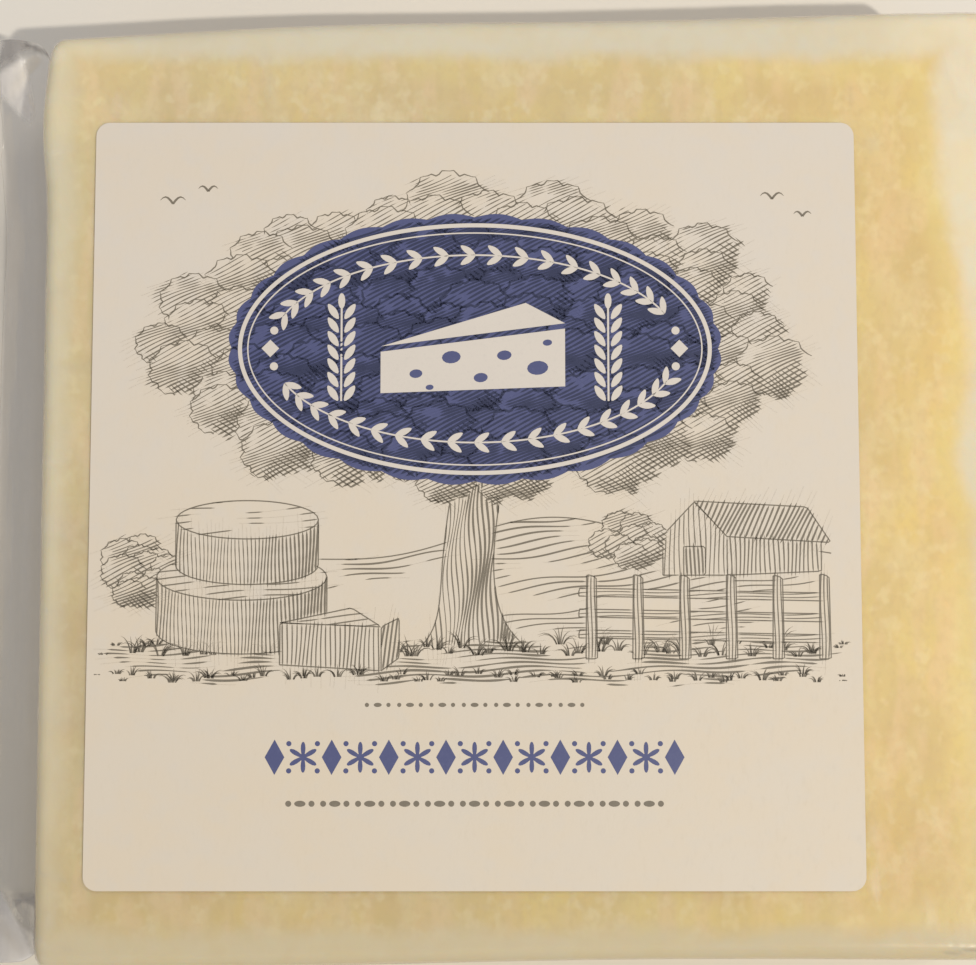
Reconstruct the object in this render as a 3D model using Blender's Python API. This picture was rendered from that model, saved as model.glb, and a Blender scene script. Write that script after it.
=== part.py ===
"""Block of cheddar sealed in clear film, lying flat with its paper label up.

Metres, +Z up. The origin is under the middle of the pack, on the surface it lies on.
X runs between the two sealed ends, and Y across them.
"""
import math

import bmesh
import bpy

# The block of cheese inside the film
BLOCK_LENGTH = 0.0980        # X, between the faces that the sealed ends leave
BLOCK_HEIGHT = 0.0200        # Z
FRONT_EDGE = -0.04745        # Y of the edge nearest the reader of the label, at mid-length
FRONT_SKEW = 0.0006          # it lies further in to the right
FRONT_BOW = 0.00035          # and stands out towards both its ends
BACK_EDGE = 0.0487           # Y of the far edge, at mid-length
BACK_SKEW = 0.0013           # it stands further out to the right
BACK_BOW = 0.0005            # and bows back towards both its ends
LEFT_SKEW = 0.00015          # the left end face leans outwards towards the back
EDGE_ROUNDING = 0.0015       # film drawn round the block's long edges
CORNER_ROUNDING = 0.0018     # upright corners, seen from above
FRONT_WAVE = (0.0001, 4.1, 0.6)    # unevenness of a cut side: its height, then its turns
BACK_WAVE = (0.0002, 4.5, 3.44)    # and its start in radians for half a length
SIDE_BULGE = 0.0004          # the sides swell a little at mid-height
BULGE_FADE = 0.006           # how far in from a side the swelling fades away

# The film tube's flat sealed ends
FLAP_THICKNESS = 0.0007
TENT_LENGTH = 0.0020         # where the film leaves the end face and closes to a flap
FLAP_REACH = 0.0056          # flat flap beyond the tent, at its back end
FLAP_REACH_GAIN = 0.0012     # the flap is this much longer at its front end
FLAP_ROOT_HEIGHT = 0.0095    # Z of the flap's middle where it leaves the block
FLAP_DROOP = 0.0040          # how far its free edge hangs below that
FLAP_INSET = 0.0003          # the flap's root stands in from the block's sides
EAR_WIDTH = 0.0110           # Y length of the turned-up corner of each flap
EAR_LIFT = {(-1, -1): 0.0042, (-1, 1): 0.0062, (1, -1): 0.0050, (1, 1): 0.0056}  # (end, side)
EAR_SPREAD = {(-1, -1): 0.0010, (-1, 1): 0.0026, (1, -1): 0.0014, (1, 1): 0.0020}
EAR_OPENING = 0.28           # share of the flap's length in which the ears spread that far
EDGE_FULLNESS = 0.98         # share of the flap's half thickness that its rounded edge takes

# The paper label
LABEL_SIZE = 0.0780
LABEL_THICKNESS = 0.0003
LABEL_CORNER = 0.0014
LABEL_GAP = 0.0003           # film and glue between the block's top and the paper
LABEL_CENTRE = (-0.00478, -0.0014)

# Mesh fineness
TOP_STEPS = 22
ARC_STEPS = 5
SIDE_STEPS = 2
BODY_STATIONS = 14
ROUND_STATIONS = 5
TENT_STATIONS = 5
FLAP_STATIONS = 5


def clear_scene():
    for item in list(bpy.data.objects):
        bpy.data.objects.remove(item, do_unlink=True)


def make_material(name, colour, roughness, metallic=0.0):
    material = bpy.data.materials.new(name)
    material.use_nodes = True
    shader = material.node_tree.nodes["Principled BSDF"]
    shader.inputs["Base Color"].default_value = (*colour, 1.0)
    shader.inputs["Roughness"].default_value = roughness
    shader.inputs["Metallic"].default_value = metallic
    material.diffuse_color = (*colour, 1.0)
    return material


def smooth(value):
    """Ease from 0 to 1, clamped at both ends."""
    value = min(max(value, 0.0), 1.0)
    return value * value * (3.0 - 2.0 * value)


def side_edges(x):
    """Y of the front and back sides of the block at this X, without the corners' rounding."""
    along = x / (BLOCK_LENGTH / 2)
    height, turns, start = FRONT_WAVE
    front = FRONT_EDGE + FRONT_SKEW * along - FRONT_BOW * along ** 2
    front += height * math.sin(turns * along + start)
    height, turns, start = BACK_WAVE
    back = BACK_EDGE + BACK_SKEW * along - BACK_BOW * along ** 2
    back += height * math.sin(turns * along + start)
    return front, back


def round_off(distance, radius):
    """How far a rounded edge stands back at this distance from the end face."""
    if distance >= radius:
        return 0.0
    reach = radius - max(distance, 0.0)
    return radius - math.sqrt(max(radius ** 2 - reach ** 2, 0.0))


def ring(front, back, low, high, rounding):
    """Points (y, z) round a rectangle with rounded corners, from its lower back corner up."""
    points = []

    def side(y0, z0, y1, z1, steps):
        for step in range(steps):
            t = step / steps
            points.append((y0 + (y1 - y0) * t, z0 + (z1 - z0) * t))

    def corner(y, z, start):
        for step in range(ARC_STEPS):
            angle = math.radians(start + 90.0 * step / ARC_STEPS)
            points.append((y + rounding * math.cos(angle), z + rounding * math.sin(angle)))

    left, right = front + rounding, back - rounding
    bottom, top = low + rounding, high - rounding
    corner(right, bottom, -90.0)
    side(back, bottom, back, top, SIDE_STEPS)
    corner(right, top, 0.0)
    side(right, high, left, high, TOP_STEPS)
    corner(left, top, 90.0)
    side(front, top, front, bottom, SIDE_STEPS)
    corner(left, bottom, 180.0)
    side(left, low, right, low, TOP_STEPS)
    return points


def skew(x, y):
    """Shift in X that turns the left end face, fading away towards the right."""
    return -LEFT_SKEW * y / BACK_EDGE * max(-x / (BLOCK_LENGTH / 2), 0.0)


def body_ring(x):
    """Section of the filmed block itself, with its end edges and corners rounded."""
    front, back = side_edges(x)
    from_end = BLOCK_LENGTH / 2 - abs(x)
    drop = round_off(from_end, EDGE_ROUNDING)
    inset = round_off(from_end, CORNER_ROUNDING)
    middle = BLOCK_HEIGHT / 2
    points = []
    for y, z in ring(front + inset, back - inset, drop, BLOCK_HEIGHT - drop, EDGE_ROUNDING):
        swell = SIDE_BULGE * (1.0 - ((z - middle) / middle) ** 2)
        from_side = min(y - front, back - y)
        swell *= 1.0 - smooth(from_side / BULGE_FADE)
        points.append((x + skew(x, y), y + math.copysign(swell, y), z))
    return points


def flap_lift(end, y, front, back, t):
    """Height that the turned-up ears add to the flap, growing towards its free edge."""
    lift = 0.0
    for hand, edge in ((-1, front), (1, back)):
        nearness = 1.0 - abs(y - edge) / EAR_WIDTH
        lift += EAR_LIFT[(end, hand)] * smooth(nearness) * smooth(t)
    return lift


def flap_ring(end, t):
    """Section of the film beyond the block's end face; t runs from the face to the free edge."""
    tent_share = TENT_LENGTH / (TENT_LENGTH + FLAP_REACH)
    closing = min(t / tent_share, 1.0)
    front, back = side_edges(end * BLOCK_LENGTH / 2)
    inset = CORNER_ROUNDING + (FLAP_INSET - CORNER_ROUNDING) * closing
    opened = smooth((t - tent_share / 2) / EAR_OPENING)
    front += inset - EAR_SPREAD[(end, -1)] * opened
    back += EAR_SPREAD[(end, 1)] * opened - inset
    shut = (1.0 - closing) ** 2
    half = FLAP_THICKNESS / 2 + (BLOCK_HEIGHT / 2 - EDGE_ROUNDING - FLAP_THICKNESS / 2) * shut
    middle = BLOCK_HEIGHT / 2 * shut + (FLAP_ROOT_HEIGHT - FLAP_DROOP * t ** 2) * (1.0 - shut)
    points = []
    rounding = min(EDGE_ROUNDING, half * EDGE_FULLNESS)
    for y, z in ring(front, back, middle - half, middle + half, rounding):
        gain = FLAP_REACH_GAIN * (BACK_EDGE - y) / (BACK_EDGE - FRONT_EDGE)
        x = end * (BLOCK_LENGTH / 2 + (TENT_LENGTH + FLAP_REACH + gain) * t)
        points.append((x + skew(x, y), y, z + flap_lift(end, y, front, back, t)))
    return points


def stations():
    """All the sections from the left free edge to the right one."""
    flap_steps = [step / TENT_STATIONS * TENT_LENGTH for step in range(1, TENT_STATIONS + 1)]
    for step in range(1, FLAP_STATIONS + 1):
        flap_steps.append(TENT_LENGTH + FLAP_REACH * step / FLAP_STATIONS)
    shares = [step / (TENT_LENGTH + FLAP_REACH) for step in flap_steps]

    half = BLOCK_LENGTH / 2
    inner = half - CORNER_ROUNDING
    rounded = []
    for step in range(1, ROUND_STATIONS + 1):
        rounded.append(inner + CORNER_ROUNDING * math.sin(math.pi / 2 * step / ROUND_STATIONS))
    core = [-inner + 2 * inner * step / BODY_STATIONS for step in range(BODY_STATIONS + 1)]
    xs = [-x for x in reversed(rounded)] + core + rounded

    rings = [flap_ring(-1, t) for t in reversed(shares)]
    rings += [body_ring(x) for x in xs]
    rings += [flap_ring(1, t) for t in shares]
    return rings


def close_end(bm, verts, flip):
    """Close a flap's free edge with a strip between its upper and lower sides."""
    count = len(verts)
    side_middle = ARC_STEPS + SIDE_STEPS // 2
    upper = verts[side_middle:] + verts[:side_middle]
    lower = [upper[-step % count] for step in range(count)]
    for step in range(count // 2):
        quad = (upper[step], upper[step + 1], lower[step + 1], lower[step])
        corners = list(dict.fromkeys(quad))
        bm.faces.new(reversed(corners) if flip else corners)


def loft(name, rings):
    """Closed skin over a row of rings with the same number of points."""
    bm = bmesh.new()
    rows = [[bm.verts.new(point) for point in points] for points in rings]
    for near, far in zip(rows, rows[1:]):
        for i in range(len(near)):
            j = (i + 1) % len(near)
            bm.faces.new((near[i], near[j], far[j], far[i]))
    close_end(bm, rows[0], False)
    close_end(bm, rows[-1], True)
    bmesh.ops.recalc_face_normals(bm, faces=bm.faces)
    mesh = bpy.data.meshes.new(name)
    bm.to_mesh(mesh)
    bm.free()
    return mesh


def add_object(name, mesh, material, collection):
    mesh.materials.append(material)
    mesh.shade_smooth()
    mesh.set_sharp_from_angle(angle=math.radians(40.0))
    item = bpy.data.objects.new(name, mesh)
    collection.objects.link(item)
    return item


def make_pack(collection):
    material = make_material("filmed_cheddar", (0.78, 0.62, 0.32), 0.28)
    return add_object("sealed_pack", loft("sealed_pack", stations()), material, collection)


def make_label(collection):
    """A square sheet of paper with rounded corners, flat on the block's top."""
    bm = bmesh.new()
    bmesh.ops.create_cube(bm, size=1.0)
    bmesh.ops.scale(bm, vec=(LABEL_SIZE, LABEL_SIZE, LABEL_THICKNESS), verts=bm.verts)
    upright = []
    for edge in bm.edges:
        start, end = edge.verts
        if abs(start.co.z - end.co.z) > LABEL_THICKNESS / 2:
            upright.append(edge)
    bmesh.ops.bevel(bm, geom=upright, offset=LABEL_CORNER, segments=6, profile=0.5,
                    affect="EDGES")
    mesh = bpy.data.meshes.new("label")
    bm.to_mesh(mesh)
    bm.free()
    material = make_material("label_paper", (0.74, 0.66, 0.54), 0.55)
    label = add_object("label", mesh, material, collection)
    height = BLOCK_HEIGHT + LABEL_GAP + LABEL_THICKNESS / 2
    label.location = (LABEL_CENTRE[0], LABEL_CENTRE[1], height)
    return label


def centre_on_origin(parts):
    """Bring the middle of the whole outline over the origin, with the base left at Z = 0."""
    bpy.context.view_layer.update()
    points = [part.matrix_world @ vert.co for part in parts for vert in part.data.vertices]
    shift_x = -(min(p.x for p in points) + max(p.x for p in points)) / 2
    shift_y = -(min(p.y for p in points) + max(p.y for p in points)) / 2
    for part in parts:
        part.location.x += shift_x
        part.location.y += shift_y


def main():
    clear_scene()
    collection = bpy.data.collections.new("cheddar_block")
    bpy.context.scene.collection.children.link(collection)
    centre_on_origin([make_pack(collection), make_label(collection)])


main()
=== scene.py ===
import math

import bpy
import numpy as np
from mathutils import Matrix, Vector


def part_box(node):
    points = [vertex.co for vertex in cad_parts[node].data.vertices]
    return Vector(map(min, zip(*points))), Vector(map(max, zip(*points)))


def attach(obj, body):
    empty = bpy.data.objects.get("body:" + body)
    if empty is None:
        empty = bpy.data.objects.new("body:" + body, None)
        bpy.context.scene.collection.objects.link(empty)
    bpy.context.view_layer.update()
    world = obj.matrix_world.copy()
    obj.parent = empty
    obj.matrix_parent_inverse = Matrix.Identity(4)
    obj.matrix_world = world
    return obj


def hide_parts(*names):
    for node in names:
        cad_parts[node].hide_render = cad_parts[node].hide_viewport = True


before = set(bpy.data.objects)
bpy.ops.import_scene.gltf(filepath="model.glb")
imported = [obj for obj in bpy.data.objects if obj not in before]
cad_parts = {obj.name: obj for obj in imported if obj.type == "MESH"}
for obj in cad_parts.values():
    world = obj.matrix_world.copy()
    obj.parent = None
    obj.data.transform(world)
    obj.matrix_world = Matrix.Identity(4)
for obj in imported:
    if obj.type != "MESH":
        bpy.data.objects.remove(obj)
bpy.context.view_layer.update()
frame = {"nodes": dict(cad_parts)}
print("frame loaded, nodes:", ", ".join(frame["nodes"]))

mm = 0.001

# The block as the model has it: where its faces are and how its film closes at the two ends
block = {
    "labelPlace": np.array([-4.78, -1.4]) * mm,   # label's middle, measured from the block's own middle
    "length": 98.0 * mm,
    "height": 20.0 * mm,
    "front": -47.45 * mm,
    "frontSkew": 0.6 * mm,
    "frontBow": 0.35 * mm,
    "frontWave": (0.1 * mm, 4.1, 0.6),            # height, turn over half a length, start (radians)
    "back": 48.7 * mm,
    "backSkew": 1.3 * mm,
    "backBow": 0.5 * mm,
    "backWave": (0.2 * mm, 4.5, 3.44),
    "leftSkew": 0.15 * mm,
    "leftSwell": (0.55 * mm, 37.5 * mm, 9.0 * mm),   # it stands out near the back: depth, middle, reach
    "bulge": 0.4 * mm,
    "bulgeFade": 6.0 * mm,
}
flap = {
    "tent": 2.0 * mm,
    "reach": 5.6 * mm,
    "reachGain": 1.2 * mm,
    "rootHeight": 9.5 * mm,
    "droop": 4.0 * mm,
    "inset": 0.3 * mm,
    "earWidth": 11.0 * mm,
    "earLift": {(-1, -1): 4.2 * mm, (-1, 1): 6.2 * mm, (1, -1): 5.0 * mm, (1, 1): 5.6 * mm},
    "earSpread": {(-1, -1): 1.0 * mm, (-1, 1): 2.6 * mm, (1, -1): 1.4 * mm, (1, 1): 2.0 * mm},
    "earOpening": 0.28,
}
labelMiddle = np.mean([list(corner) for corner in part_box("label")], axis=0)[:2]
shift = np.array([*(labelMiddle - block["labelPlace"]), 0.0])


# Camera, floor and light

camera = {
    "lens": 66.0,
    "sensor": 36.0,
    "clipStart": 0.01,
    "place": np.array([-3.44, -14.82, 200.8]) * mm,   # from the block's middle
    "elevation": 85.19,
}


def makeCamera():
    data = bpy.data.cameras.new("camera")
    data.lens, data.sensor_width, data.clip_start = camera["lens"], camera["sensor"], camera["clipStart"]
    item = bpy.data.objects.new("camera", data)
    tilt = Matrix.Rotation(math.radians(90.0 - camera["elevation"]), 4, "X")
    item.matrix_world = Matrix.Translation(camera["place"] + shift) @ tilt
    bpy.context.scene.collection.objects.link(item)
    bpy.context.scene.camera = item


light = {
    "sky": (0.91, 0.945, 1.03),
    "skyStrength": 0.50,
    "lamps": {
        "keyLamp": {          # throws the shadow to the left and a little behind; it is aimed past
            "place": (0.446, -0.356, 1.0), "aim": (0.45, 1.20, 0.0),   # the block to light its far side too
            "size": 0.03, "power": 8.6, "colour": (1.0, 0.962, 0.885)},
        "fillLamp": {
            "place": (0.45, 0.40, 0.50), "aim": (0.0, 0.0, 0.0),
            "size": 0.25, "power": 0.85, "colour": (1.0, 0.94, 0.83)}},
}


def makeLight():
    world = bpy.data.worlds.new("studio")
    bpy.context.scene.world = world
    world.use_nodes = True
    background = world.node_tree.nodes["Background"].inputs
    background["Color"].default_value = (*light["sky"], 1.0)
    background["Strength"].default_value = light["skyStrength"]
    for name, lamp in light["lamps"].items():
        data = bpy.data.lights.new(name, "AREA")
        data.size, data.energy, data.color = lamp["size"], lamp["power"], lamp["colour"]
        place = np.array(lamp["place"])
        back = (place - lamp["aim"]) / np.linalg.norm(place - lamp["aim"])   # a lamp shines along its -Z
        side = np.cross([0.0, 1.0, 0.0], back)
        side /= np.linalg.norm(side)
        turned = np.eye(4)
        turned[:3] = np.column_stack([side, np.cross(back, side), back, place])
        item = bpy.data.objects.new(name, data)
        item.matrix_world = Matrix(turned.tolist())
        bpy.context.scene.collection.objects.link(item)
    bpy.context.scene.view_settings.view_transform = "Standard"


# Shader building. Values given to a node are plain, or the output socket that feeds the input

def feed(tree, node, values):
    for key, value in values.items():
        if isinstance(value, bpy.types.NodeSocket):
            tree.links.new(value, node.inputs[key])
        else:
            node.inputs[key].default_value = value


def addNode(tree, kind, values=None, **settings):
    node = tree.nodes.new("ShaderNode" + kind)
    for key, value in settings.items():
        setattr(node, key, value)
    feed(tree, node, values or {})
    return node


def calc(tree, operation, *values, clamp=False):
    return addNode(tree, "Math", dict(enumerate(values)), operation=operation, use_clamp=clamp).outputs[0]


def vectorCalc(tree, operation, *values, result="Vector"):
    return addNode(tree, "VectorMath", dict(enumerate(values)), operation=operation).outputs[result]


def blend(tree, factor, first, second, kind="MIX"):
    # first and second are colours, plain ones as (red, green, blue), or sockets
    first, second = ((*shade, 1.0) if isinstance(shade, tuple) else shade for shade in (first, second))
    node = addNode(tree, "Mix", {0: factor, 6: first, 7: second}, data_type="RGBA", blend_type=kind)
    return node.outputs[2]


def tinted(tree, factor, colour, tint):
    return blend(tree, factor, colour, tint, "MULTIPLY")


def ramp(tree, value, low, high, start=0.0, end=1.0):
    # an eased rise from start to end while the value goes from low to high
    values = {"Value": value, "From Min": low, "From Max": high, "To Min": start, "To Max": end}
    return addNode(tree, "MapRange", values, interpolation_type="SMOOTHSTEP").outputs[0]


def newMaterial(name):
    material = bpy.data.materials.new(name)
    material.use_nodes = True
    tree = material.node_tree
    return material, tree, addNode(tree, "TexCoord").outputs["Object"]


def setSurface(tree, values):
    feed(tree, tree.nodes["Principled BSDF"], values)


def newGroup(name, inputs, result):
    # a node group with named inputs, which start from these values, and one output
    group = bpy.data.node_groups.new(name, "ShaderNodeTree")
    for label, value in inputs.items():
        kind = "NodeSocketVector" if isinstance(value, tuple) else "NodeSocketFloat"
        group.interface.new_socket(name=label, in_out="INPUT", socket_type=kind).default_value = value
    group.interface.new_socket(name=result, in_out="OUTPUT", socket_type="NodeSocketFloat")
    entry, out = group.nodes.new("NodeGroupInput"), group.nodes.new("NodeGroupOutput")
    return group, entry.outputs, out.inputs


def makeMottleGroup():
    # soft blotches: layered noise of the given size, stretched, and cut between two levels
    group, given, out = newGroup("mottle", {
        "Place": (0, 0, 0), "Stretch": (1, 1, 1), "Size": 0.003, "Low": 0.4, "High": 0.6,
        "Detail": 3.0}, "Mask")
    noise = addNode(group, "TexNoise", {
        "Vector": vectorCalc(group, "MULTIPLY", given["Place"], given["Stretch"]),
        "Scale": calc(group, "DIVIDE", 1.0, given["Size"]), "Detail": given["Detail"], "Roughness": 0.55})
    group.links.new(ramp(group, noise.outputs["Fac"], given["Low"], given["High"]), out["Mask"])
    return group


def makeReliefGroup():
    # fine surface relief as a height: grains at one size and shallow pits at another
    group, given, out = newGroup("fineRelief", {
        "Place": (0, 0, 0), "Grain": 0.0004, "Pit": 0.002, "Pit Depth": 0.5}, "Height")
    noise = addNode(group, "TexNoise", {
        "Vector": given["Place"], "Scale": calc(group, "DIVIDE", 1.0, given["Grain"]),
        "Detail": 4.0, "Roughness": 0.6})
    cells = addNode(group, "TexVoronoi", {
        "Vector": given["Place"], "Scale": calc(group, "DIVIDE", 1.0, given["Pit"])})
    deep = calc(group, "MULTIPLY", ramp(group, cells.outputs["Distance"], 0.05, 0.45), given["Pit Depth"])
    group.links.new(calc(group, "ADD", noise.outputs["Fac"], deep), out["Height"])
    return group


def makeEdgeGroup():
    # a mask that is 1 on the middle of each face and 0 towards its edges: of the three distances
    # to the box's sides the smallest belongs to the face itself, so the second smallest is cut
    group, given, out = newGroup("edgeBand", {
        "Place": (0, 0, 0), "Low Corner": (-0.045, -0.045, 0.0), "High Corner": (0.045, 0.045, 0.02),
        "Softness": 0.002, "Unevenness": 0.002}, "Core")
    noise = addNode(group, "TexNoise", {
        "Vector": given["Place"], "Scale": 170.0, "Detail": 4.0, "Roughness": 0.6}).outputs["Fac"]
    push = calc(group, "MULTIPLY", calc(group, "SUBTRACT", noise, 0.5), given["Unevenness"])
    point, low, high = (addNode(group, "SeparateXYZ", {0: given[label]}).outputs
                        for label in ("Place", "Low Corner", "High Corner"))
    inside = [calc(group, "MINIMUM", calc(group, "SUBTRACT", point[axis], low[axis]),
                   calc(group, "SUBTRACT", high[axis], point[axis])) for axis in range(3)]
    lesser, greater = (calc(group, choice, *inside[:2]) for choice in ("MINIMUM", "MAXIMUM"))
    second = calc(group, "MAXIMUM", lesser, calc(group, "MINIMUM", greater, inside[2]))
    depth = calc(group, "ADD", second, calc(group, "MULTIPLY", push, 4.0))
    share = calc(group, "DIVIDE", depth, given["Softness"])
    group.links.new(ramp(group, share, -0.5, 0.5), out["Core"])
    return group


groups = {"mottle": makeMottleGroup(), "fineRelief": makeReliefGroup(), "edgeBand": makeEdgeGroup()}


def blotches(tree, place, size, low, high, stretch=(1, 1, 1), detail=3.0):
    values = {"Place": place, "Size": size, "Low": low, "High": high, "Stretch": stretch, "Detail": detail}
    return addNode(tree, "Group", values, node_tree=groups["mottle"]).outputs["Mask"]


def relief(tree, place, grain, pit, pitDepth, strength, distance):
    # the bumped normal of the fine relief
    values = {"Place": place, "Grain": grain, "Pit": pit, "Pit Depth": pitDepth}
    height = addNode(tree, "Group", values, node_tree=groups["fineRelief"]).outputs["Height"]
    values = {"Height": height, "Strength": strength, "Distance": distance}
    return addNode(tree, "Bump", values).outputs["Normal"]


# Shapes worked out as arrays

def smoothstep(low, high, value):
    share = np.clip((value - low) / (high - low), 0.0, 1.0)
    return share * share * (3.0 - 2.0 * share)


def latticeNoise(points, cell, seed):
    # a scrambled number at each corner of a lattice of this cell size, eased between corners; -1 to 1
    spot = points / cell
    base = np.floor(spot).astype(np.int64)
    part = spot - base
    part = part * part * (3.0 - 2.0 * part)
    total = np.zeros(points.shape[:-1])
    for corner in range(8):
        step = np.array([corner & 1, (corner >> 1) & 1, corner >> 2])
        code = ((base + step) * np.array([73856093, 19349663, 83492791])).sum(-1) + seed * 7919
        code = (code ^ (code >> 15)) * 22695477 & 0xFFFFFFFF
        code = (code ^ (code >> 13)) * 1103515245 & 0xFFFFFFFF
        value = ((code ^ (code >> 16)) & 0xFFFF) / 32767.5 - 1.0
        total += np.prod(np.where(step == 1, part, 1.0 - part), -1) * value
    return total


def insideBy(x, y, corners):
    # how far inside a convex outline given anticlockwise each point lies; negative outside
    corners = np.array(corners, float)
    edges = np.roll(corners, -1, 0) - corners
    spot = np.stack([x, y], -1)[..., None, :] - corners
    turned = edges[:, 0] * spot[..., 1] - edges[:, 1] * spot[..., 0]
    return (turned / np.linalg.norm(edges, axis=1)).min(-1)


def addMesh(name, points, faceSets, material, smooth=True):
    # points are (count, 3); each face set is (count, corners)
    mesh = bpy.data.meshes.new(name)
    corners = np.concatenate([faces.ravel() for faces in faceSets]).astype(np.int32)
    sizes = np.concatenate([np.full(len(faces), faces.shape[1]) for faces in faceSets])
    starts = np.concatenate([[0], np.cumsum(sizes)[:-1]]).astype(np.int32)
    mesh.vertices.add(len(points))
    mesh.vertices.foreach_set("co", (points + shift).astype(np.float32).ravel())
    mesh.loops.add(len(corners))
    mesh.loops.foreach_set("vertex_index", corners)
    mesh.polygons.add(len(sizes))
    mesh.polygons.foreach_set("loop_start", starts)
    mesh.update(calc_edges=True)
    mesh.validate()
    if smooth:
        mesh.shade_smooth()
    else:
        mesh.shade_flat()
    mesh.materials.append(material)
    item = bpy.data.objects.new(name, mesh)
    bpy.context.scene.collection.objects.link(item)
    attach(item, "root")
    return item


def ringPlan(flatSteps, arcSteps, sideSteps, crowd=0.0):
    # once round a rounded rectangle from its lower right corner: sides (across, up) of the inner
    # rectangle that each point starts from, and the outward direction there. crowd draws the
    # points of the lower and the upper side together towards their ends
    corners = np.array([[1, -1], [1, 1], [-1, 1], [-1, -1], [1, -1]])
    runs = []
    for turn in range(4):
        steps, pull = (flatSteps, crowd) if turn % 2 else (sideSteps, 0.0)
        arc, along = np.arange(arcSteps) / arcSteps, np.arange(steps) / steps
        along = along - pull * np.sin(2 * np.pi * along) / (2 * np.pi)
        start, end = corners[turn, :, None], corners[turn + 1, :, None]
        arcAngle, sideAngle = 90.0 * (turn - 1 + arc), np.full(steps, 90.0 * turn)
        for share, last, angle in ((arc, start, arcAngle), (along, end, sideAngle)):
            angle = np.radians(angle)
            runs.append(np.vstack([start * (1 - share) + last * share, np.cos(angle), np.sin(angle)]))
    return np.concatenate(runs, axis=1)


def sideEdges(x):
    # where the front and the back face are at each x: skewed, bowed and gently waved
    along = x / (block["length"] / 2)
    edges = []
    for side in ("front", "back"):
        height, turn, start = block[side + "Wave"]
        edges.append(block[side] + block[side + "Skew"] * along - block[side + "Bow"] * along ** 2
                     + height * np.sin(turn * along + start))
    return edges


def skewX(x, y):
    depth, middle, reach = block["leftSwell"]
    out = block["leftSkew"] * y / block["back"] + depth * smoothstep(reach, 0.0, np.abs(y - middle))
    return x - out * np.maximum(-x / (block["length"] / 2), 0.0) ** 2


def roundOff(distance, radius):
    reach = np.clip(radius - distance, 0.0, radius)
    return radius - np.sqrt(radius ** 2 - reach ** 2)


def blockRings(piece, inset):
    # sections of the block across X: rounded rectangles that shrink over the rounded ends, where
    # they stand close together. inset sets the whole surface in from the model's. Returns the
    # sections (stations, ring points, 3) and their plan
    half = block["length"] / 2 - inset
    straight = half - piece["cornerRound"]
    turn = np.sin(np.pi / 2 * np.arange(1, piece["roundStations"] + 1) / piece["roundStations"])
    rounded = straight + piece["cornerRound"] * turn
    xs = np.concatenate([-rounded[::-1], np.linspace(-straight, straight, piece["stations"] + 1), rounded])
    plan = ringPlan(piece["topSteps"], piece["arcSteps"], piece["sideSteps"], crowd=0.55)
    front, back = (edge[:, None] for edge in sideEdges(xs))
    fromEnd, radius = (half - np.abs(xs))[:, None], piece["edgeRound"]
    cut = roundOff(fromEnd, piece["cornerRound"]) + inset
    sideY, sideZ, cosine, sine = plan
    middleZ = block["height"] / 2
    halfZ = middleZ - inset - roundOff(fromEnd, radius)
    y = (front + back) / 2 + sideY * ((back - front) / 2 - cut - radius) + cosine * radius
    z = middleZ + sideZ * (halfZ - radius) + sine * radius
    swell = block["bulge"] * (1.0 - ((z - middleZ) / middleZ) ** 2)
    fromSide = np.minimum(y - front, back - y)
    y = y + np.sign(y) * swell * (1.0 - smoothstep(0.0, block["bulgeFade"], fromSide))
    x = skewX(np.broadcast_to(xs[:, None], y.shape), y)
    return np.stack([x, y, z], -1), plan


def endCap(ring, piece, first, ringFirst):
    # closes a ring with a grid between its upper and lower halves, which both run from the back
    # edge to the front one; returns new points, faces with four corners and faces with three
    count, rows = len(ring), piece["capRows"]
    order = (np.arange(count) + piece["arcSteps"] + piece["sideSteps"] // 2) % count
    upper, lower = order[:count // 2 + 1], order[-np.arange(count // 2 + 1) % count]
    share = (np.arange(1, rows) / rows)[:, None, None]
    inner = ring[upper[1:-1]] * (1 - share) + ring[lower[1:-1]] * share
    columns = len(upper)
    number = np.empty((rows + 1, columns), np.int64)
    number[:] = upper + ringFirst
    number[-1] = lower + ringFirst
    number[1:-1, 1:-1] = first + np.arange((rows - 1) * (columns - 2)).reshape(rows - 1, columns - 2)
    cells = np.stack([number[:-1, :-1], number[:-1, 1:], number[1:, 1:], number[1:, :-1]], -1)
    threes = np.concatenate([cells[:, 0, 1:], cells[:, -1][:, [2, 3, 0]]])
    return inner.reshape(-1, 3), cells[:, 1:-1].reshape(-1, 4), threes


def closeRings(rings, piece):
    # skins the rings and closes both ends; returns points and face sets
    rows, count = rings.shape[:2]
    points, number = rings.reshape(-1, 3), np.arange(rows * count).reshape(rows, count)
    following = np.roll(number, -1, 1)
    faceSets = [np.stack([number[:-1], following[:-1], following[1:], number[1:]], -1).reshape(-1, 4)]
    for end, way in ((0, -1), (rows - 1, 1)):
        inner, fours, threes = endCap(rings[end], piece, len(points), end * count)
        points = np.concatenate([points, inner])
        faceSets += [fours[:, ::way], threes[:, ::way]]
    return points, faceSets


# The cheese

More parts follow.
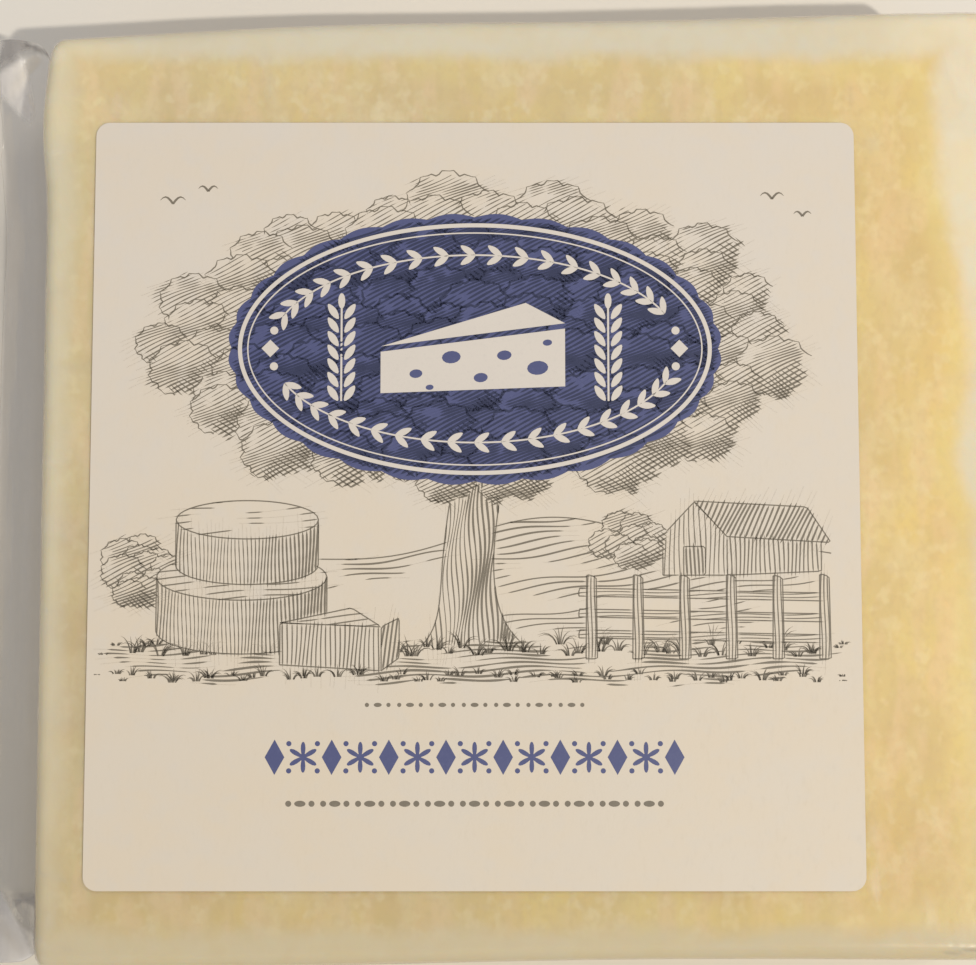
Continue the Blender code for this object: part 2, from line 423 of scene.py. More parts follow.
cheese = {
    "inset": 0.15 * mm,           # the film lies this far outside it
    "edgeRound": 1.3 * mm,
    "cornerRound": 1.6 * mm,
    "topSteps": 120, "arcSteps": 6, "sideSteps": 20, "stations": 120, "roundStations": 6, "capRows": 22,
    "unevenness": 0.10 * mm,      # slow swelling of the cut faces
    "grain": 0.035 * mm,          # crumb of the cut
    "core": (0.700, 0.560, 0.290),
    "coreWarm": (0.745, 0.580, 0.272),
    "coreLeft": (0.680, 0.575, 0.350),
    "pale": (0.763, 0.638, 0.394),
    "tan": (0.645, 0.490, 0.260),
    "curd": (0.800, 0.690, 0.440),
    "lemon": (0.830, 0.690, 0.285),
    "blush": (0.780, 0.600, 0.370),
    "bloom": (0.735, 0.665, 0.500),
    # pale edge colours: the front one is darkened with painted shade, the right one lightened with painted
    # light
    "bloomFrontPaintedShade": (0.730, 0.630, 0.420),
    "bloomLeft": (0.735, 0.655, 0.455),
    "bloomRightPaintedLight": (0.865, 0.765, 0.550),
    # painted light from the right, and a warmer cheese colour there
    "rightLightAndWarmth": (1.125, 1.055, 0.885),
    # painted light: lighter still near the right end
    "farRightPaintedLight": (1.10, 1.09, 1.08),
    # painted shade: darker towards the front
    "frontPaintedShading": (0.90, 0.88, 0.84),
    "mottles": [                  # size in mm, stretch along Y, lower and upper cut, strength, colour
        (6.0, 0.7, 0.42, 0.70, 0.34, "lemon"), (7.5, 0.8, 0.42, 0.66, 0.45, "tan"),
        (3.6, 0.5, 0.44, 0.70, 0.60, "pale"), (2.4, 0.35, 0.46, 0.72, 0.65, "blush"),
        (1.6, 0.9, 0.50, 0.72, 0.50, "curd"), (0.9, 0.8, 0.42, 0.70, 0.30, "tan")],
    # darker by the left edge, lighter at the back left: middle and half sizes (mm), tint
    "darkerAndLighterPatches": [(-43.2, -15.5, 5.2, 21.0, (0.86, 0.84, 0.87)), (-46.0, 42.5, 8.0, 9.0, (1.10, 1.08, 1.03))],
    "coreLow": np.array([-46.3, -44.3, 3.0]) * mm,   # the yellow core's box, paler outside it
    "coreHigh": np.array([45.9, 44.6, 17.0]) * mm,
    "coreSoftness": 2.6 * mm,
    "coreUnevenness": 0.6 * mm,
    "lemonRim": 2.4 * mm,         # the core is more lemon this far in from its border
    "narrowing": 3.2 * mm,        # how far the core's right border bends in towards the back
    "lobe": (2.0 * mm, 2.3 * mm, 8.0 * mm),          # and again in mid-length: depth, middle, reach
    "relief": {"grain": 0.5 * mm, "pit": 1.8 * mm, "pitDepth": 0.4, "strength": 0.15, "distance": 0.10 * mm},
}


def roughen(points):
    # moves every point along the outward direction of the rounded box by two sizes of noise;
    # the face that it rests on stays flat
    box = np.array([block["length"] / 2, block["back"], block["height"] / 2]) - cheese["edgeRound"]
    centred = points - [0.0, 0.0, block["height"] / 2]
    outward = centred - np.clip(centred, -box, box)
    outward /= np.maximum(np.linalg.norm(outward, axis=1, keepdims=True), 1e-9)
    slow = latticeNoise(points * [1, 1, 0.6], 9 * mm, 3) * cheese["unevenness"]
    fine = latticeNoise(points, 1.3 * mm, 11) * cheese["grain"]
    fine -= np.maximum(latticeNoise(points, 2.4 * mm, 23) - 0.55, 0.0) * 4.0 * cheese["grain"]
    moved = np.minimum(slow + fine, cheese["inset"] * 0.6)
    return points + outward * (moved * smoothstep(0.0, 2.0 * mm, points[:, 2]))[:, None]


def makeCheese():
    rings, plan = blockRings(cheese, cheese["inset"])
    points, faceSets = closeRings(rings, cheese)
    item = addMesh("cheese", roughen(points), faceSets, cheeseMaterial())
    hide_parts("sealed_pack")


def cheeseMaterial():
    material, tree, place = newMaterial("cheddar")
    x, y, z = addNode(tree, "SeparateXYZ", {0: place}).outputs
    rightward = ramp(tree, x, 0.000, 0.045)
    leftward = ramp(tree, x, -0.048, -0.038, 1.0, 0.0)

    # broad patches, then upright streaks and specks of several sizes, each paler or warmer
    broad = blotches(tree, place, 13 * mm, 0.38, 0.64, stretch=(1, 0.6, 1), detail=1.5)
    colour = blend(tree, broad, cheese["core"], cheese["coreWarm"])
    colour = blend(tree, calc(tree, "MULTIPLY", leftward, 0.9), colour, cheese["coreLeft"])
    for size, stretch, low, high, strength, shade in cheese["mottles"]:
        mask = blotches(tree, place, size * mm, low, high, stretch=(1, stretch, 1), detail=1.5)
        colour = blend(tree, calc(tree, "MULTIPLY", mask, strength), colour, cheese[shade])
    # painted light from the right, with a warmer cheese colour: brighter and warmer towards the right
    colour = tinted(tree, rightward, colour, cheese["rightLightAndWarmth"])
    # painted light: lighter still near the right end, except towards the front
    farRight, offFront = ramp(tree, x, 0.040, 0.047), ramp(tree, y, -0.040, -0.015)
    colour = tinted(tree, calc(tree, "MULTIPLY", farRight, offFront), colour, cheese["farRightPaintedLight"])

    # the core's right border bends in towards the back and in mid-length
    depth, middle, reach = cheese["lobe"]
    offLobe = calc(tree, "ABSOLUTE", calc(tree, "SUBTRACT", y, middle))
    narrowing = calc(tree, "ADD", ramp(tree, y, 0.008, 0.040, 0.0, cheese["narrowing"]),
                     ramp(tree, offLobe, 0.0, reach, depth, 0.0))
    bend = addNode(tree, "CombineXYZ", {0: calc(tree, "MULTIPLY", narrowing, rightward)}).outputs[0]

    def coreMask(inset):
        values = {
            "Place": vectorCalc(tree, "ADD", place, bend), "Softness": cheese["coreSoftness"],
            "Unevenness": cheese["coreUnevenness"], "Low Corner": tuple(cheese["coreLow"] + inset + shift),
            "High Corner": tuple(cheese["coreHigh"] - inset + shift)}
        return addNode(tree, "Group", values, node_tree=groups["edgeBand"]).outputs["Core"]

    # paler towards every edge, where the film stands off the cheese
    core = coreMask(0.0)
    rim = calc(tree, "SUBTRACT", core, coreMask(cheese["lemonRim"]), clamp=True)
    rim = calc(tree, "MULTIPLY", rim, calc(tree, "MULTIPLY_ADD", rightward, 0.30, 0.10))
    colour = blend(tree, rim, colour, cheese["lemon"])
    bloom = blend(tree, leftward, cheese["bloom"], cheese["bloomLeft"])
    # painted light and shade on the pale edge: lighter towards the right, darker towards the front
    bloom = blend(tree, ramp(tree, x, 0.030, 0.047), bloom, cheese["bloomRightPaintedLight"])
    bloom = blend(tree, ramp(tree, y, -0.045, 0.035), cheese["bloomFrontPaintedShade"], bloom)
    patches = calc(tree, "MULTIPLY_ADD", blotches(tree, place, 3 * mm, 0.35, 0.65, detail=1.5), 0.20, 0.80)
    away = calc(tree, "SUBTRACT", 1.0, core)
    colour = blend(tree, calc(tree, "MULTIPLY", away, patches), colour, bloom)
    # painted shade: the cheese darker towards the front
    colour = tinted(tree, ramp(tree, y, -0.046, -0.018, 1.0, 0.0), colour, cheese["frontPaintedShading"])
    for middleX, middleY, halfX, halfY, tint in cheese["darkerAndLighterPatches"]:
        spot = vectorCalc(tree, "SUBTRACT", place, tuple(np.array([middleX, middleY, 0]) * mm + shift))
        spot = vectorCalc(tree, "MULTIPLY", spot, (1 / (halfX * mm), 1 / (halfY * mm), 0.0))
        reach = vectorCalc(tree, "LENGTH", spot, result="Value")
        colour = tinted(tree, ramp(tree, reach, 0.2, 1.2, 1.0, 0.0), colour, tint)

    setSurface(tree, {
        "Base Color": colour, "Roughness": ramp(tree, core, 0.0, 1.0, 0.52, 0.36),
        "Normal": relief(tree, place, **cheese["relief"]),
        "Subsurface Weight": 0.35, "Subsurface Scale": 1.2 * mm, "Subsurface Radius": (1.0, 0.62, 0.28),
        "IOR": 1.44, "Specular IOR Level": 0.2})
    return material


# The film: one skin drawn round the block and shut flat at both ends

film = {
    "edgeRound": 1.5 * mm,
    "cornerRound": 1.8 * mm,
    "thickness": 0.24 * mm,       # both layers of a sealed flap
    "topSteps": 130, "arcSteps": 6, "sideSteps": 10, "stations": 150, "roundStations": 6, "capRows": 1,
    "tentSteps": 12, "flapSteps": 20,
    "pucker": 0.12 * mm,          # ridges in the film near the ends
    "puckerReach": 11.0 * mm,
    "ripple": 0.45 * mm,          # waves of the sealed flaps
    "earFold": 1.0 * mm,
    "ragged": 0.25 * mm,          # unevenness of the free edges
    "tint": (0.95, 0.89, 0.82),
    # painted shade: the dark tint that the film turns where it stands for shadow
    "paintedShadeTint": (0.19, 0.170, 0.158),
    "sealHaze": 0.035,
    "ribHaze": 0.008,
    "ribPitch": 0.85 * mm,
    "marks": [                    # soft milky marks on top: haze, middle, half sizes (mm), turn (degrees)
        (0.10, -41.6, 39.6, 2.4, 1.7, 60), (0.09, -26.1, 42.2, 4.6, 0.9, 92),
        (0.14, -48.0, 44.9, 2.0, 1.3, 45), (0.26, -49.8, 47.4, 2.8, 1.5, 130),
        (0.08, 33.7, 40.7, 2.2, 1.2, 95),
        (0.09, 36.2, 35.5, 1.8, 1.4, 80), (0.12, 45.6, 42.6, 6.0, 2.6, 112),
        (0.15, 35.1, -39.6, 3.0, 0.8, 92), (0.07, 35.0, -34.2, 2.6, 1.0, 90),
        (0.07, 40.4, -42.6, 3.4, 1.1, 104), (0.08, -46.9, -43.4, 1.8, 1.0, 70)],
    # the last three folded patches are also darkened with painted shade, by their second number
    "folds": [                    # folded patches on the left ears: haze, dusk, top, corners (x, y) in mm
        (0.31, 0.0, 20.0, [(-53.5, 40.4), (-52.9, 42.0), (-53.2, 44.6), (-53.9, 47.6), (-57.5, 46.0),
                           (-57.5, 44.4)]),
        (0.22, 0.0, 20.0, [(-53.5, 41.0), (-53.0, 42.0), (-53.3, 43.6), (-54.4, 43.4), (-54.4, 42.2)]),
        (0.40, 0.8, 20.0, [(-56.8, 46.4), (-55.0, 47.0), (-53.1, 48.2), (-53.2, 49.3), (-55.8, 49.3)]),
        (0.50, 0.42, 20.0, [(-58.5, -41.6), (-58.5, -50.4), (-49.9, -50.3), (-50.5, -48.7), (-51.9, -45.6),
                            (-54.9, -42.0)]),
        (0.38, 0.66, 11.0, [(-54.0, -42.4), (-50.2, -49.2), (-49.0, -49.6), (-49.0, -43.2), (-51.0, -42.0)])],
    # fold lines: milky, and darkened all through with painted shade
    "foldLinesWithPaintedShade": [                    # dark fold lines: haze, half width, points (x, y) in mm
        (0.30, 0.45, [(-53.4, 48.6), (-51.6, 48.2), (-49.6, 46.6)]),
        (0.22, 0.30, [(42.3, -46.5), (44.9, -46.2), (49.0, -45.4)])],
}


def sharpRidges(points, cell, seed, power):
    # narrow crests where a slow noise crosses zero; 0 to 1
    return (1.0 - np.abs(latticeNoise(points, cell, seed))) ** power


def flapRings(end, shares, plan):
    # sections beyond one end face: shares run from 0 at the face to 1 at the free edge.
    # The section shuts from the block's height to two layers, droops, and its ears turn up
    tentShare = flap["tent"] / (flap["tent"] + flap["reach"])
    t = shares[:, None]
    closing = np.minimum(t / tentShare, 1.0)
    front, back = sideEdges(np.array(end * block["length"] / 2))
    inset = film["cornerRound"] + (flap["inset"] - film["cornerRound"]) * closing
    opened = smoothstep(tentShare / 2, tentShare / 2 + flap["earOpening"], t)
    low = front + inset - flap["earSpread"][(end, -1)] * opened
    high = back - inset + flap["earSpread"][(end, 1)] * opened
    shut = (1.0 - closing) ** 2
    full = block["height"] / 2 - film["edgeRound"]
    half = film["thickness"] / 2 + (full - film["thickness"] / 2) * shut
    middle = block["height"] / 2 * shut + (flap["rootHeight"] - flap["droop"] * t ** 2) * (1.0 - shut)
    rounding = np.minimum(film["edgeRound"], half * 0.98)
    sideY, sideZ, cosine, sine = plan
    y = (low + high) / 2 + sideY * ((high - low) / 2 - rounding) + cosine * rounding

    # pleats: the film is gathered into folds that run from the block's edges to the flap
    line = np.stack([y, np.full_like(y, end * 9 * mm), np.zeros_like(y)], -1)
    pleats = sharpRidges(line, 3.4 * mm, 31, 5)
    half = half * (1.0 + 1.1 * pleats * shut * (1.0 - shut))
    z = middle + sideZ * (half - rounding) + sine * rounding

    gain = flap["reachGain"] * (block["back"] - y) / (block["back"] - block["front"])
    ragged = film["ragged"] * latticeNoise(line, 5 * mm, 37) * t ** 3
    x = end * (block["length"] / 2 + (flap["tent"] + flap["reach"] + gain) * t - np.abs(ragged))
    x = skewX(x, y)
    for hand, edge in ((-1, low), (1, high)):
        # each ear turns up, and one sharp fold runs slantwise across it
        nearness = smoothstep(0.0, 1.0, 1.0 - np.abs(y - edge) / flap["earWidth"])
        slant = (y - edge) * hand + (t * (flap["tent"] + flap["reach"])) * 1.2
        fold = np.maximum(0.0, 1.0 - np.abs(slant - 1.2 * mm) / (1.6 * mm)) * smoothstep(0.25, 0.7, t)
        z = z + (flap["earLift"][(end, hand)] * smoothstep(0.0, 1.0, t) - film["earFold"] * fold) * nearness
    wide = np.stack([y, x * 0.7, np.zeros_like(y)], -1)
    ripple = latticeNoise(wide, 8 * mm, 41) + 0.35 * latticeNoise(wide, 3 * mm, 43)
    z = z + film["ripple"] * ripple * smoothstep(tentShare * 0.5, 1.0, t)

    seal = np.broadcast_to(smoothstep(tentShare + 0.10, tentShare + 0.22, t), y.shape)
    ear = smoothstep(0.35, 1.0, 1 - np.minimum(y - low, high - y) / flap["earWidth"])
    haze = 0.80 * pleats * shut * (1 - shut) + 0.06 * ear * t + 0.03 * np.abs(ripple) * t
    return np.stack([x, y, z], -1), haze, seal


def fromLine(x, y, line):
    # distance to the nearest point of a line of straight runs
    spot, near = np.stack([x, y], -1), np.inf
    for start, end in zip(np.array(line[:-1]), np.array(line[1:])):
        run = end - start
        share = np.clip(((spot - start) * run).sum(-1) / (run ** 2).sum(), 0.0, 1.0)
        near = np.minimum(near, np.linalg.norm(spot - start - share[..., None] * run, axis=-1))
    return near


def onUpperSide(points):
    return smoothstep(0.6, 0.95, points[..., 2] / block["height"])


def milkAndPaintedShade(points):
    # haze of the marks on top, the folded patches and the fold lines, and the painted shade that darkens some
    # patches and every fold line
    x, y, z = points.T / mm
    haze, paintedShade = np.zeros(x.shape), np.zeros(x.shape)
    for milk, middleX, middleY, halfLong, halfWide, turn in film["marks"]:
        cosine, sine = math.cos(math.radians(turn)), math.sin(math.radians(turn))
        along = (x - middleX) * cosine + (y - middleY) * sine
        across = (y - middleY) * cosine - (x - middleX) * sine
        faded = smoothstep(1.0, 0.15, np.hypot(along / halfLong, across / halfWide))
        haze += milk * onUpperSide(points) * faded
    for milk, dark, top, corners in film["folds"]:
        inside = insideBy(x, y, corners)
        haze += milk * smoothstep(-0.2, 0.5, inside) * smoothstep(top + 1.5, top - 1.5, z)
        paintedShade = np.maximum(paintedShade, dark * smoothstep(-0.9, -0.1, inside))
    for milk, half, line in film["foldLinesWithPaintedShade"]:
        patch = smoothstep(half, 0.2 * half, fromLine(x, y, line))
        haze, paintedShade = haze + milk * patch, np.maximum(paintedShade, patch)
    return haze, paintedShade


def puckerRidges(points):
    # ridges in the film over the block's ends, fading towards its middle, on the upper side
    fromEnd = block["length"] / 2 - np.abs(points[..., 0])
    near = 1.0 - smoothstep(0.0, film["puckerReach"], fromEnd)
    side = np.where(points[..., 0] > 0, 1.0, -1.0)
    bent = points[..., 1] * (1.0 - 0.006 * fromEnd / mm)
    line = np.stack([bent, fromEnd * 0.18, side * 7 * mm], -1)
    return sharpRidges(line, 4.6 * mm, 51, 9) * near ** 1.5 * onUpperSide(points)


def makeFilm():
    body, plan = blockRings(film, 0.0)
    ridges = puckerRidges(body)
    body[..., 2] += film["pucker"] * ridges
    tent = flap["tent"] * np.arange(1, film["tentSteps"] + 1) / film["tentSteps"]
    sealed = flap["tent"] + flap["reach"] * np.arange(1, film["flapSteps"] + 1) / film["flapSteps"]
    shares = np.concatenate([tent, sealed]) / (flap["tent"] + flap["reach"])
    left, right = (flapRings(end, shares, plan) for end in (-1, 1))
    between = (body, 0.10 * ridges, np.zeros(ridges.shape))
    rings, haze, seal = (np.concatenate([before[::-1], middle, after])
                         for before, middle, after in zip(left, between, right))
    points, faceSets = closeRings(rings, film)
    marked, paintedShade = milkAndPaintedShade(points)
    item = addMesh("film", points, faceSets, filmMaterial())
    for name, values in (("haze", haze.ravel() + marked), ("seal", seal.ravel()), ("paintedShade", paintedShade)):
        attribute = item.data.attributes.new(name, "FLOAT", "POINT")
        attribute.data.foreach_set("value", values.astype(np.float32))
    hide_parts("sealed_pack")


def filmMaterial():
    # clear where it is tight: only a thin share of each ray is reflected. Milky where it is
    # creased, gathered or sealed: there the share grows and turns from mirror to paint
    material, tree, place = newMaterial("clearFilm")
    haze, seal, paintedShade = (addNode(tree, "Attribute", attribute_name=name).outputs["Fac"]
                        for name in ("haze", "seal", "paintedShade"))
    scuffs = addNode(tree, "TexNoise", {
        "Vector": vectorCalc(tree, "MULTIPLY", place, (1, 0.35, 1)), "Scale": 1 / (3.0 * mm),
        "Detail": 2.0, "Roughness": 0.6}).outputs["Fac"]
    across = addNode(tree, "SeparateXYZ", {0: place}).outputs[0]
    ribs = calc(tree, "SINE", calc(tree, "MULTIPLY", across, 2 * math.pi / film["ribPitch"]))
    ribs = calc(tree, "MULTIPLY", calc(tree, "MULTIPLY_ADD", ribs, 0.5, 0.5), seal)

    milk = calc(tree, "MULTIPLY_ADD", seal, film["sealHaze"], haze)
    milk = calc(tree, "MULTIPLY_ADD", ribs, film["ribHaze"], milk)
    milk = calc(tree, "MULTIPLY", milk, ramp(tree, scuffs, 0.35, 0.65, 0.75, 1.25))
    milk = calc(tree, "ADD", milk, ramp(tree, scuffs, 0.5, 0.8, 0.0, 0.02), clamp=True)

    height = calc(tree, "MULTIPLY_ADD", ribs, 0.05, calc(tree, "MULTIPLY", scuffs, 0.5))
    bump = addNode(tree, "Bump", {"Height": height, "Strength": 0.5, "Distance": 0.2 * mm})
    normal = bump.outputs["Normal"]
    facing = addNode(tree, "LayerWeight", {"Blend": 0.5, "Normal": normal}).outputs["Facing"]
    shine = calc(tree, "MULTIPLY_ADD", calc(tree, "POWER", facing, 5.0), 0.9, 0.04)
    setSurface(tree, {
        # painted shade: the base colour turns dark where the mesh carries painted shade
        "Base Color": blend(tree, paintedShade, film["tint"], film["paintedShadeTint"]),
        "Metallic": ramp(tree, milk, 0.02, 0.16, 1.0, 0.0),
        "Roughness": ramp(tree, milk, 0.0, 0.3, 0.15, 0.36), "Normal": normal})
    mix = addNode(tree, "MixShader", {
        0: calc(tree, "ADD", shine, milk, clamp=True), 1: addNode(tree, "BsdfTransparent").outputs[0],
        2: tree.nodes["Principled BSDF"].outputs[0]})
    tree.links.new(mix.outputs[0], tree.nodes["Material Output"].inputs["Surface"])
    return material


# The label: a sheet of paper. What is drawn on it is in millimetres from its middle

paper = {
    "size": 78.0,                 # in the drawing's millimetres, as are the corner and the thickness
    "corner": 1.4,
    "thickness": 0.09,
    "bottom": 20.03 * mm,
    "wave": 0.035 * mm,
    "rings": 36, "sideSteps": 56, "cornerSteps": 8,
    "colour": (0.735, 0.645, 0.530),
    "colourWarm": (0.745, 0.640, 0.505),
    "colourCool": (0.715, 0.640, 0.545),
    "fibre": (0.60, 0.52, 0.40),
    # painted light: warmer and a little darker towards the front
    "frontPaintedShading": (0.995, 0.975, 0.925),
    "relief": {"grain": 0.22 * mm, "pit": 0.8 * mm, "pitDepth": 0.15, "distance": 0.05 * mm},
    "roughened": 0.22,            # the relief's strength on bare paper
}


def onPaper(points, lift):
    # drawing millimetres to metres above the paper's upper face, which rises and falls a little
    # with the film it is stuck to
    flat = points * mm + block["labelPlace"]
    wave = latticeNoise(np.concatenate([flat, np.zeros_like(flat[..., :1])], -1), 17 * mm, 61)
    height = paper["bottom"] + (paper["thickness"] + lift) * mm + paper["wave"] * wave
    return np.concatenate([flat, height[..., None]], -1)


def flatBodies(outlines, lifts, rings=1):
    # flat closed bodies under outlines (bodies, points, 2): rings of points that shrink to the
    # middle, on the upper and the lower side, joined round the rim. lifts are the lower and the
    # upper side's heights above the paper
    bodies, count = outlines.shape[:2]
    middle = outlines.mean(1, keepdims=True)
    share = np.linspace(1.0, 0.0, rings + 1)[:-1, None, None]
    flat = (middle[:, None] + (outlines - middle)[:, None] * share).reshape(bodies, rings * count, 2)
    flat = np.concatenate([flat, middle], 1)
    points = np.stack([onPaper(flat, lift) for lift in lifts[::-1]], 1)
    number = np.arange(bodies * 2 * (rings * count + 1)).reshape(bodies, 2, -1)
    here = number[..., :-1].reshape(bodies, 2, rings, count)
    following = np.roll(here, -1, -1)
    centre = np.broadcast_to(number[..., -1:], (bodies, 2, count))
    cells = np.stack([here[:, :, :-1], following[:, :, :-1], following[:, :, 1:], here[:, :, 1:]], -1)
    fan = np.stack([here[:, :, -1], following[:, :, -1], centre], -1)
    rim = np.stack([here[:, 1, 0], following[:, 1, 0], following[:, 0, 0], here[:, 0, 0]], -1)
    fours = np.concatenate([part.reshape(-1, 4) for part in (cells[:, 0], cells[:, 1, ..., ::-1], rim)])
    threes = np.concatenate([part.reshape(-1, 3) for part in (fan[:, 0], fan[:, 1, :, ::-1])])
    return points.reshape(-1, 3), fours, threes


def makePaper():
    across, up, cosine, sine = ringPlan(paper["sideSteps"], paper["cornerSteps"], paper["sideSteps"])
    half, corner = paper["size"] / 2 - paper["corner"], paper["corner"]
    outline = np.stack([across * half + cosine * corner, up * half + sine * corner], -1)
    points, *faceSets = flatBodies(outline[None], (-paper["thickness"], 0.0), paper["rings"])
    item = addMesh("paperLabel", points, faceSets, paperMaterial())
    item.data.set_sharp_from_angle(angle=math.radians(40))
    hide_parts("label")


def paperMaterial():
    material, tree, place = newMaterial("labelPaper")
    colour = blend(tree, blotches(tree, place, 9 * mm, 0.36, 0.66), paper["colour"], paper["colourWarm"])
    cool = calc(tree, "MULTIPLY", blotches(tree, place, 2.2 * mm, 0.45, 0.72), 0.5)
    colour = blend(tree, cool, colour, paper["colourCool"])
    fibres = blotches(tree, place, 0.35 * mm, 0.5, 0.8, stretch=(1, 0.3, 1))
    colour = blend(tree, calc(tree, "MULTIPLY", fibres, 0.10), colour, paper["fibre"])
    # painted light: the paper turns warmer and a little darker towards the front
    forward = ramp(tree, addNode(tree, "SeparateXYZ", {0: place}).outputs[1], -0.040, 0.030, 1.0, 0.0)
    setSurface(tree, {
        "Base Color": tinted(tree, forward, colour, paper["frontPaintedShading"]),
        "Roughness": ramp(tree, fibres, 0.0, 1.0, 0.52, 0.62),
        "Normal": relief(tree, place, strength=paper["roughened"], **paper["relief"])})
    return material


# The print as thin flat shapes: an engraved tree, cheeses and fence under a blue plaque with a
# wreath, and rows of blue and grey ornaments

engraving = {
    "barPoints": 6,               # points along one engraved bar
    "barStep": 0.45,              # between two of them
    "leastWidth": 0.075,          # a bar thinner than this all along is left out
    "thinnest": 0.003,
    "outline": 0.12,
    "sepiaLift": (0.002, 0.014),  # lower and upper face above the paper, as for the others
    "blueLift": (0.001, 0.030),
    "navyLift": (0.0305, 0.038),
    "creamLift": (0.0310, 0.045),
    "leafLift": (0.0310, 0.048),
    "detailLift": (0.0485, 0.056),
    "plaque": (0.0, 15.5, 25.2, 14.0),   # middle and half axes
    "scallops": 32, "scallopDepth": 0.42,
    "crown": (0.0, 16.2, 34.5, 16.5), "crownLobes": 120, "lobeSize": (2.4, 4.2),
    "ground": -15.2,
    "overprint": (1.25, 0.09),    # lines under the blue look wider: a factor, and a constant part
}
dice = np.random.default_rng(20)
barShare = np.arange(engraving["barPoints"]) / (engraving["barPoints"] - 1)


def noise2(u, v, cell, seed):
    return latticeNoise(np.stack([u, v, np.zeros_like(u)], -1), cell, seed)


def barNumbers(bars):
    # the numbers of the points of bars that follow each other, each bar's last being the next one's first
    steps = engraving["barPoints"] - 1
    return np.arange(bars)[:, None] * steps + np.arange(steps + 1)


def penStrokes(line, width):
    # a line of points as short bars of even width: (bars, points, 2) and (bars, points)
    line = np.asarray(line, float)
    run = np.concatenate([[0], np.cumsum(np.linalg.norm(np.diff(line, axis=0), axis=1))])
    steps = engraving["barPoints"] - 1
    bars = max(1, math.ceil(run[-1] / (engraving["barStep"] * steps)))
    at = np.linspace(0, run[-1], bars * steps + 1)
    spots = np.stack([np.interp(at, run, line[:, 0]), np.interp(at, run, line[:, 1])], -1)
    return spots[barNumbers(bars)], np.full((bars, steps + 1), width)


def hatchStrokes(shape):
    # parallel lines over the shape's box, in short bars whose width follows the tone under them
    lowU, lowV, highU, highV = shape["box"]
    turn, pitch, step = math.radians(shape["angle"]), shape["pitch"], engraving["barStep"]
    along, across = np.array([math.cos(turn), math.sin(turn)]), np.array([-math.sin(turn), math.cos(turn)])
    middle, reach = np.array([lowU + highU, lowV + highV]) / 2, math.hypot(highU - lowU, highV - lowV) / 2
    lines = np.arange(-int(reach / pitch), int(reach / pitch) + 1)[:, None, None] * pitch
    barLength = step * (engraving["barPoints"] - 1)
    run = -reach + barNumbers(int(2 * reach / barLength) + 2) * step
    run = run - dice.uniform(0, barLength, (len(lines), 1, 1))
    sway = shape.get("sway", 0.12) * np.sin(run / 1.9 + lines * 1.3)
    points = middle + along * run[..., None] + across * (lines + sway)[..., None]
    u, v = points[..., 0], points[..., 1]
    tone = np.where(shape["mask"](u, v), shape["tone"](u, v), 0.0)
    widths = np.where(tone > 0.03, pitch * (0.16 + 0.44 * np.clip(tone, 0, 1)), 0.0)
    return points.reshape(-1, *points.shape[2:]), widths.reshape(-1, widths.shape[-1])


def plane(corners, tone, angle, pitch):
    # one flat face of a barn, a post or a wedge of cheese: its corners, its darkness up to 1, and
    # the angle and the pitch of its lines
    corners = np.array(corners, float)
    return {
        "mask": lambda u, v: insideBy(u, v, corners) >= 0, "angle": angle, "pitch": pitch,
        "tone": lambda u, v: tone + 0.12 * noise2(u, v, 1.3, 71),
        "box": (*corners.min(0), *corners.max(0)), "lines": [np.vstack([corners, corners[:1]])]}


def drum(middleU, bottom, radius, height):
    # a wheel of cheese seen from a little above: its wall, then its flat top
    flat = radius * 0.27
    angle = np.linspace(0, 2 * np.pi, 49)
    rim = np.stack([middleU + radius * np.cos(angle), bottom + height + flat * np.sin(angle)], -1)
    foot = np.vstack([rim[24], rim[24:] - [0, height], rim[0]])

    def dip(u):
        return flat * np.sqrt(np.clip(1 - ((u - middleU) / radius) ** 2, 0, 1))

    def wall(u, v):
        return (np.abs(u - middleU) < radius) & (v > bottom - dip(u)) & (v < bottom + height)

    def wallTone(u, v):
        across = (u - middleU) / radius
        rings = 0.12 * np.sin((v - bottom + dip(u)) * 4.2)
        return 0.16 + 0.74 * smoothstep(-0.35, 1.0, across) + 0.25 * smoothstep(-0.7, -1.0, across) + rings

    def lid(u, v):
        return ((u - middleU) / radius) ** 2 + ((v - bottom - height) / flat) ** 2 < 1
    box = (middleU - radius, bottom - flat, middleU + radius, bottom + height + flat)
    return [
        {"mask": wall, "tone": wallTone, "angle": 90, "pitch": 0.37, "box": box, "lines": [foot]},
        {"mask": lid, "tone": lambda u, v: 0.05 + 0.10 * noise2(u, v, 2.0, 73), "angle": 4, "pitch": 0.62,
         "box": box, "lines": [rim]}]


